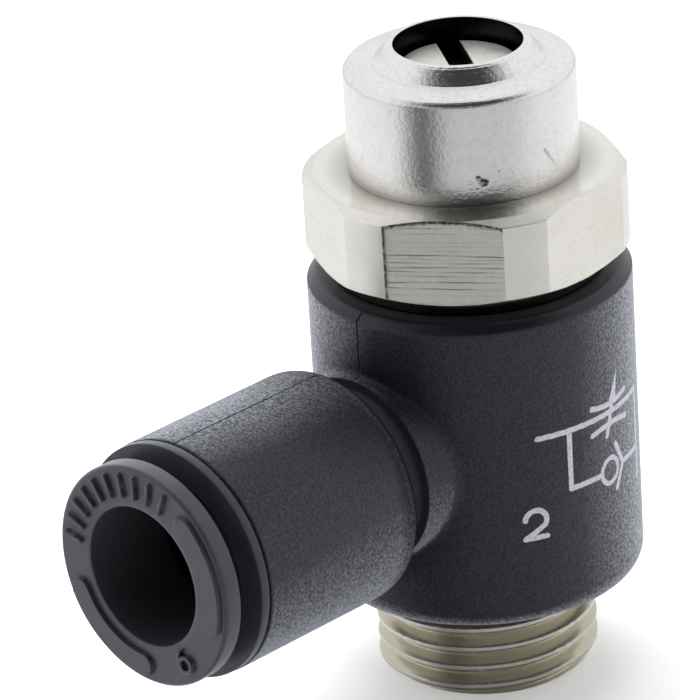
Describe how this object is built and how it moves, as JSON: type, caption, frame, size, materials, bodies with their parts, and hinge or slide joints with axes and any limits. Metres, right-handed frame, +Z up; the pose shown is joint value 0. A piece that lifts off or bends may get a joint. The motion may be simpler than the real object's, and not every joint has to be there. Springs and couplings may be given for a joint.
{
  "type": "flow control valve",
  "caption": "Compact banjo flow control valve: swivelling polymer elbow with a push-in tube socket on a threaded bolt, with a slotted needle spindle recessed in a metal hood.",
  "frame": {"origin": "on the flat ring under the valve body that seats on the port, below the barrel; the bolt's axis is parallel to Z at y = 5.75 mm", "axes": "+Z up the bolt towards the spindle, thread towards -Z, tube leaves towards -Y, X across the body"},
  "size_m": [0.0142, 0.0276, 0.0292],
  "materials": {
    "nickel_brass": "nickel-plated brass, turned thread and milled hex flats",
    "satin_nickel": "nickel-plated brass, fine turned and satin polished",
    "spindle_nickel": "nickel-plated brass, bright slotted head",
    "black_polymer": "glass-filled polymer with a fine spark-eroded grain",
    "button_polymer": "smooth satin moulded polymer",
    "ring_polymer": "smooth moulded polymer",
    "acetal": "natural moulded acetal",
    "nitrile": "moulded nitrile rubber",
    "spring_steel": "pressed stainless spring steel"
  },
  "bodies": {
    "bolt": {"banjo_bolt": "nickel_brass", "retaining_hood": "satin_nickel", "upper_stem_o_ring": "nitrile", "lower_stem_o_ring": "nitrile", "check_lip_seal": "nitrile"},
    "elbow": {"valve_body": "black_polymer", "port_seal": "nitrile", "tube_seal": "nitrile", "backup_ring": "acetal", "gripping_ring": "spring_steel", "cartridge_sleeve": "ring_polymer"},
    "button": {"release_button": "button_polymer"},
    "spindle_lift": {"spindle_o_ring": "nitrile"},
    "spindle": {"adjusting_spindle": "spindle_nickel"}
  },
  "joints": [
    {"name": "elbow_swivel", "type": "hinge", "parent": "bolt", "child": "elbow", "pos_m": [0, 0.00575, 0], "axis": [0, 0, 1], "continuous": true},
    {"name": "button_press", "type": "slide", "parent": "elbow", "child": "button", "axis": [0, 1, 0], "range_m": [0, 0.00085]},
    {"name": "spindle_travel", "type": "slide", "parent": "bolt", "child": "spindle_lift", "axis": [0, 0, 1], "range_m": [-0.0035, 0]},
    {"name": "spindle_turn", "type": "hinge", "parent": "spindle_lift", "child": "spindle", "pos_m": [0, 0.00575, 0.0228], "axis": [0, 0, 1], "range_deg": [-2520, 0]}
  ],
  "couplings": [
    {"joint": "spindle_turn", "follows": "spindle_travel", "rad_per_m": 12566}
  ]
}
